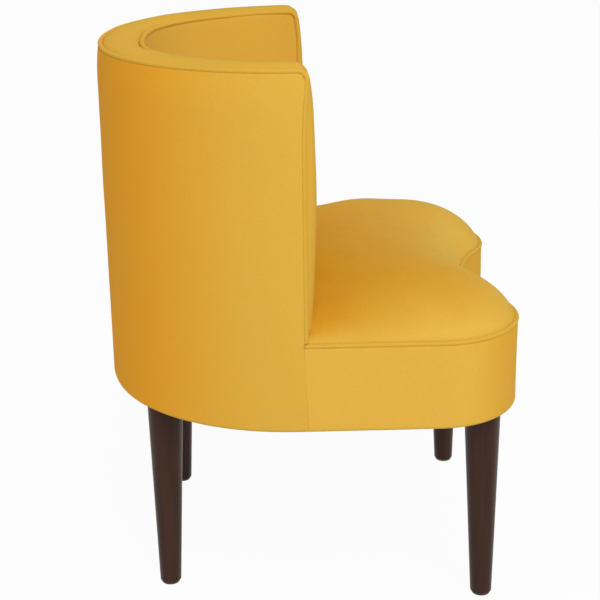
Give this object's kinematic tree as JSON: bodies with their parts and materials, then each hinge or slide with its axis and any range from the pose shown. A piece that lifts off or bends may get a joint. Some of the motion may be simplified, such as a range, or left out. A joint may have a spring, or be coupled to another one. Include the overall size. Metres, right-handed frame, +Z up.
{
  "type": "accent chair",
  "caption": "Armless barrel-back accent chair with padded wings, a crowned kidney-shaped seat, welted velvet covers and tapered wooden legs.",
  "frame": {"origin": "on the floor under the middle of the chair", "axes": "+Z up; the sitter faces -Y, so +X is the sitter's left"},
  "size_m": [0.61, 0.6079, 0.8159],
  "materials": {
    "cover_velvet": "short-pile golden yellow velvet with a soft sheen",
    "leg_wood": "dark espresso stain, satin lacquer",
    "frame_timber": "planed softwood, unfinished",
    "plywood": "plywood, unfinished",
    "panel_board": "fibreboard, unfinished",
    "foam": "open-cell foam",
    "wadding": "polyester wadding",
    "webbing": "woven elastic webbing",
    "decking_cloth": "plain non-woven cloth",
    "cord": "twisted fibre cord",
    "dust_cloth": "thin black non-woven cloth",
    "glide_plastic": "moulded, matte",
    "fixing_steel": "zinc plated"
  },
  "bodies": {
    "root": {"outside_back_cover": "cover_velvet", "seat_boxing_cover": "cover_velvet", "inside_back_cover": "cover_velvet", "border_band_cover": "cover_velvet", "seat_top_cover": "cover_velvet", "seat_welt": "cover_velvet", "outer_back_welt": "cover_velvet", "inner_back_welt": "cover_velvet", "front_left_leg": "leg_wood", "front_right_leg": "leg_wood", "rear_left_leg": "leg_wood", "rear_right_leg": "leg_wood", "back_bottom_rail": "frame_timber", "back_seat_rail": "frame_timber", "back_mid_rail": "frame_timber", "back_top_rail": "frame_timber", "wing_post_left": "frame_timber", "wing_post_right": "frame_timber", "back_uprights": "frame_timber", "seat_box_blocks": "frame_timber", "base_board": "plywood", "seat_ring": "plywood", "outer_back_panel": "panel_board", "inner_back_panel": "panel_board", "seat_side_panel": "panel_board", "seat_foam": "foam", "inside_back_foam": "foam", "outside_back_padding": "wadding", "border_padding": "wadding", "seat_boxing_padding": "wadding", "webbing_lengthwise": "webbing", "webbing_crosswise": "webbing", "seat_decking": "decking_cloth", "seat_welt_cord": "cord", "outer_back_welt_cord": "cord", "inner_back_welt_cord": "cord", "dust_cover": "dust_cloth", "front_left_glide": "glide_plastic", "front_right_glide": "glide_plastic", "rear_left_glide": "glide_plastic", "rear_right_glide": "glide_plastic", "glide_nails": "fixing_steel", "hanger_bolts": "fixing_steel", "t_nuts": "fixing_steel", "top_rail_screws": "fixing_steel", "base_screws": "fixing_steel", "seat_ring_screws": "fixing_steel", "dust_cover_staples": "fixing_steel", "webbing_staples": "fixing_steel"}
  },
  "joints": []
}
